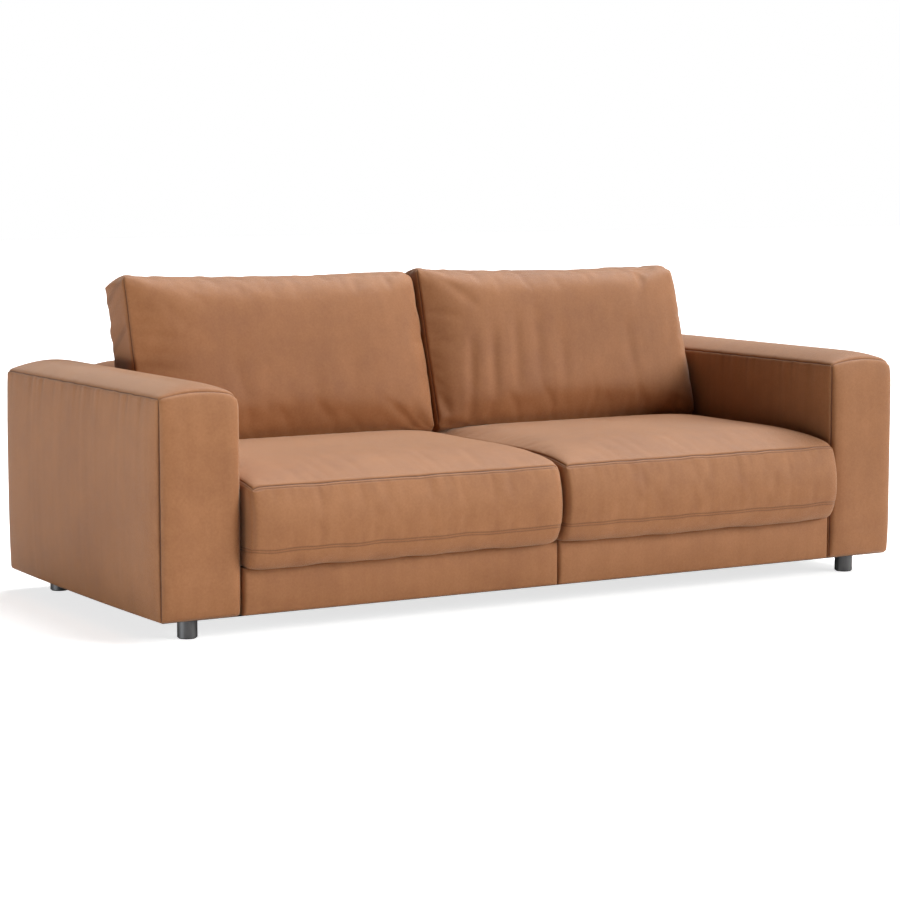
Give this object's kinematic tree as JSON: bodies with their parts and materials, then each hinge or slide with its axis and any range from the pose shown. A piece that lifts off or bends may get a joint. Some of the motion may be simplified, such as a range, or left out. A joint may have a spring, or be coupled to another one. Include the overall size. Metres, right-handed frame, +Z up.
{
  "type": "two-seat sofa",
  "caption": "Low leather sofa with broad padded arms, loose boxed seat cushions, loose leaning back cushions and short round metal legs.",
  "frame": {"origin": "On the floor, under the middle of the sofa's box.", "axes": "+X runs along the sofa to the sitter's left, which is the right of the picture; the sofa faces -Y; +Z is up."},
  "size_m": [2.284, 1.0622, 0.8583],
  "materials": {
    "tan_leather": "satin",
    "grey_metal": "satin",
    "frame_wood": "matte",
    "plywood": "matte",
    "foam": "matte",
    "webbing": "matte",
    "deck_felt": "matte",
    "dust_cloth": "matte",
    "steel": "satin",
    "glide_plastic": "matte"
  },
  "bodies": {
    "sofa_frame": {"arm_bolts": "steel", "arm_tee_nuts": "steel", "back_bolts": "steel", "back_bottom_rail": "frame_wood", "back_cover": "tan_leather", "back_foam": "foam", "back_posts": "frame_wood", "back_sheet": "plywood", "back_tee_nuts": "steel", "back_top_rail": "frame_wood", "back_webbing": "webbing", "bolt_washers": "steel", "corner_blocks": "frame_wood", "dust_cover": "dust_cloth", "front_left_leg": "grey_metal", "front_rail": "frame_wood", "front_right_leg": "grey_metal", "left_arm_bottom_board": "frame_wood", "left_arm_cleat": "frame_wood", "left_arm_cover": "tan_leather", "left_arm_foam": "foam", "left_arm_front_post": "frame_wood", "left_arm_inner_panel": "plywood", "left_arm_outer_panel": "plywood", "left_arm_rear_post": "frame_wood", "left_arm_top_board": "frame_wood", "left_end_rail": "frame_wood", "left_front_border_cover": "tan_leather", "left_front_border_foam": "foam", "leg_glides": "glide_plastic", "leg_studs": "steel", "leg_tee_nuts": "steel", "middle_rail": "frame_wood", "rear_left_leg": "grey_metal", "rear_rail": "frame_wood", "rear_right_leg": "grey_metal", "right_arm_bottom_board": "frame_wood", "right_arm_cleat": "frame_wood", "right_arm_cover": "tan_leather", "right_arm_foam": "foam", "right_arm_front_post": "frame_wood", "right_arm_inner_panel": "plywood", "right_arm_outer_panel": "plywood", "right_arm_rear_post": "frame_wood", "right_arm_top_board": "frame_wood", "right_end_rail": "frame_wood", "right_front_border_cover": "tan_leather", "right_front_border_foam": "foam", "seat_deck": "deck_felt", "seat_webbing_crosswise": "webbing", "seat_webbing_lengthwise": "webbing"},
    "left_seat_cushion": {"left_seat_cover": "tan_leather", "left_seat_core": "foam"},
    "right_seat_cushion": {"right_seat_cover": "tan_leather", "right_seat_core": "foam"},
    "left_back_cushion": {"left_back_cushion_cover": "tan_leather", "left_back_cushion_core": "foam"},
    "right_back_cushion": {"right_back_cushion_cover": "tan_leather", "right_back_cushion_core": "foam"}
  },
  "joints": [
    {"name": "left_seat_lift", "type": "slide", "parent": "sofa_frame", "child": "left_seat_cushion", "axis": [0, 0, 1], "range_m": [0, 0.5]},
    {"name": "right_seat_lift", "type": "slide", "parent": "sofa_frame", "child": "right_seat_cushion", "axis": [0, 0, 1], "range_m": [0, 0.5]},
    {"name": "left_back_lift", "type": "slide", "parent": "left_seat_cushion", "child": "left_back_cushion", "axis": [0, 0, 1], "range_m": [0, 0.3]},
    {"name": "right_back_lift", "type": "slide", "parent": "right_seat_cushion", "child": "right_back_cushion", "axis": [0, 0, 1], "range_m": [0, 0.3]}
  ]
}
